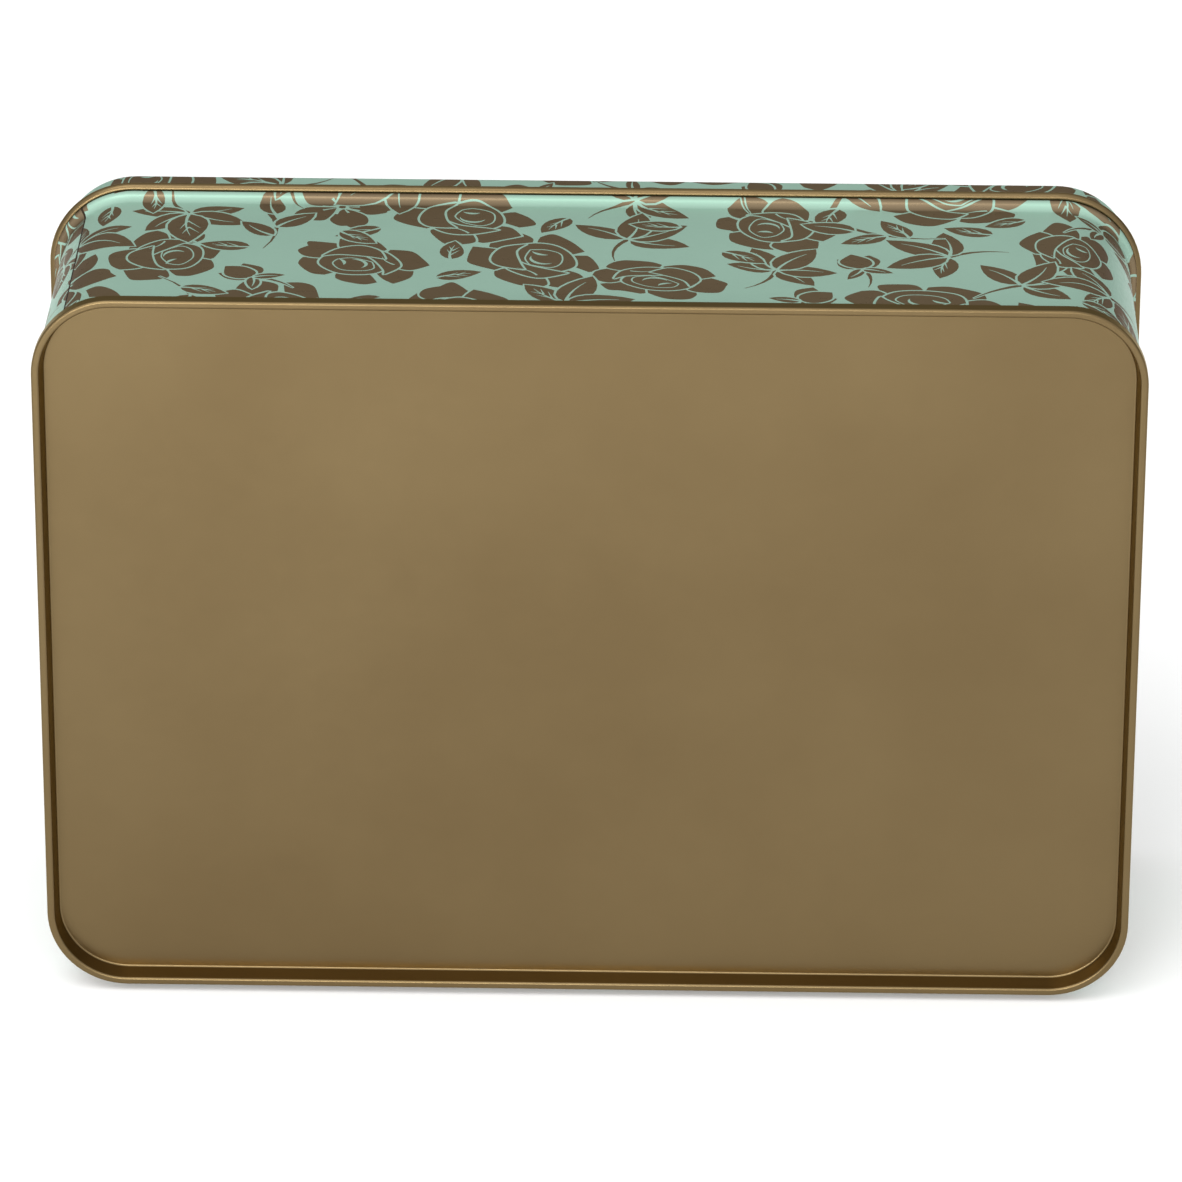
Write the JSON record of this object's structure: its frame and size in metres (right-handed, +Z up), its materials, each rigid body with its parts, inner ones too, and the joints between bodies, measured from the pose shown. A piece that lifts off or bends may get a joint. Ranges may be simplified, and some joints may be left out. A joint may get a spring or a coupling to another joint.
{
  "type": "slip-lid tin",
  "caption": "Rectangular tinplate lunch tin with rounded corners, recessed double-seamed base, printed wall and lift-off lid with a rolled edge.",
  "frame": {"origin": "bottom centre of the closed tin's box, with the tin standing on one long side wall", "axes": "+X along the tin's width, +Y from the base rim to the lid, +Z up across the tin's height"},
  "size_m": [0.2026, 0.0654, 0.1397],
  "materials": {
    "printed_wall": "satin",
    "gold_base": "satin metallic",
    "printed_lid": "satin"
  },
  "bodies": {
    "tin_body": {"body_wall": "printed_wall", "base_panel": "gold_base"},
    "lid": {"lid": "printed_lid"}
  },
  "joints": [
    {"name": "lid_slide", "type": "slide", "parent": "tin_body", "child": "lid", "axis": [0, 1, 0], "range_m": [0, 0.06]}
  ]
}
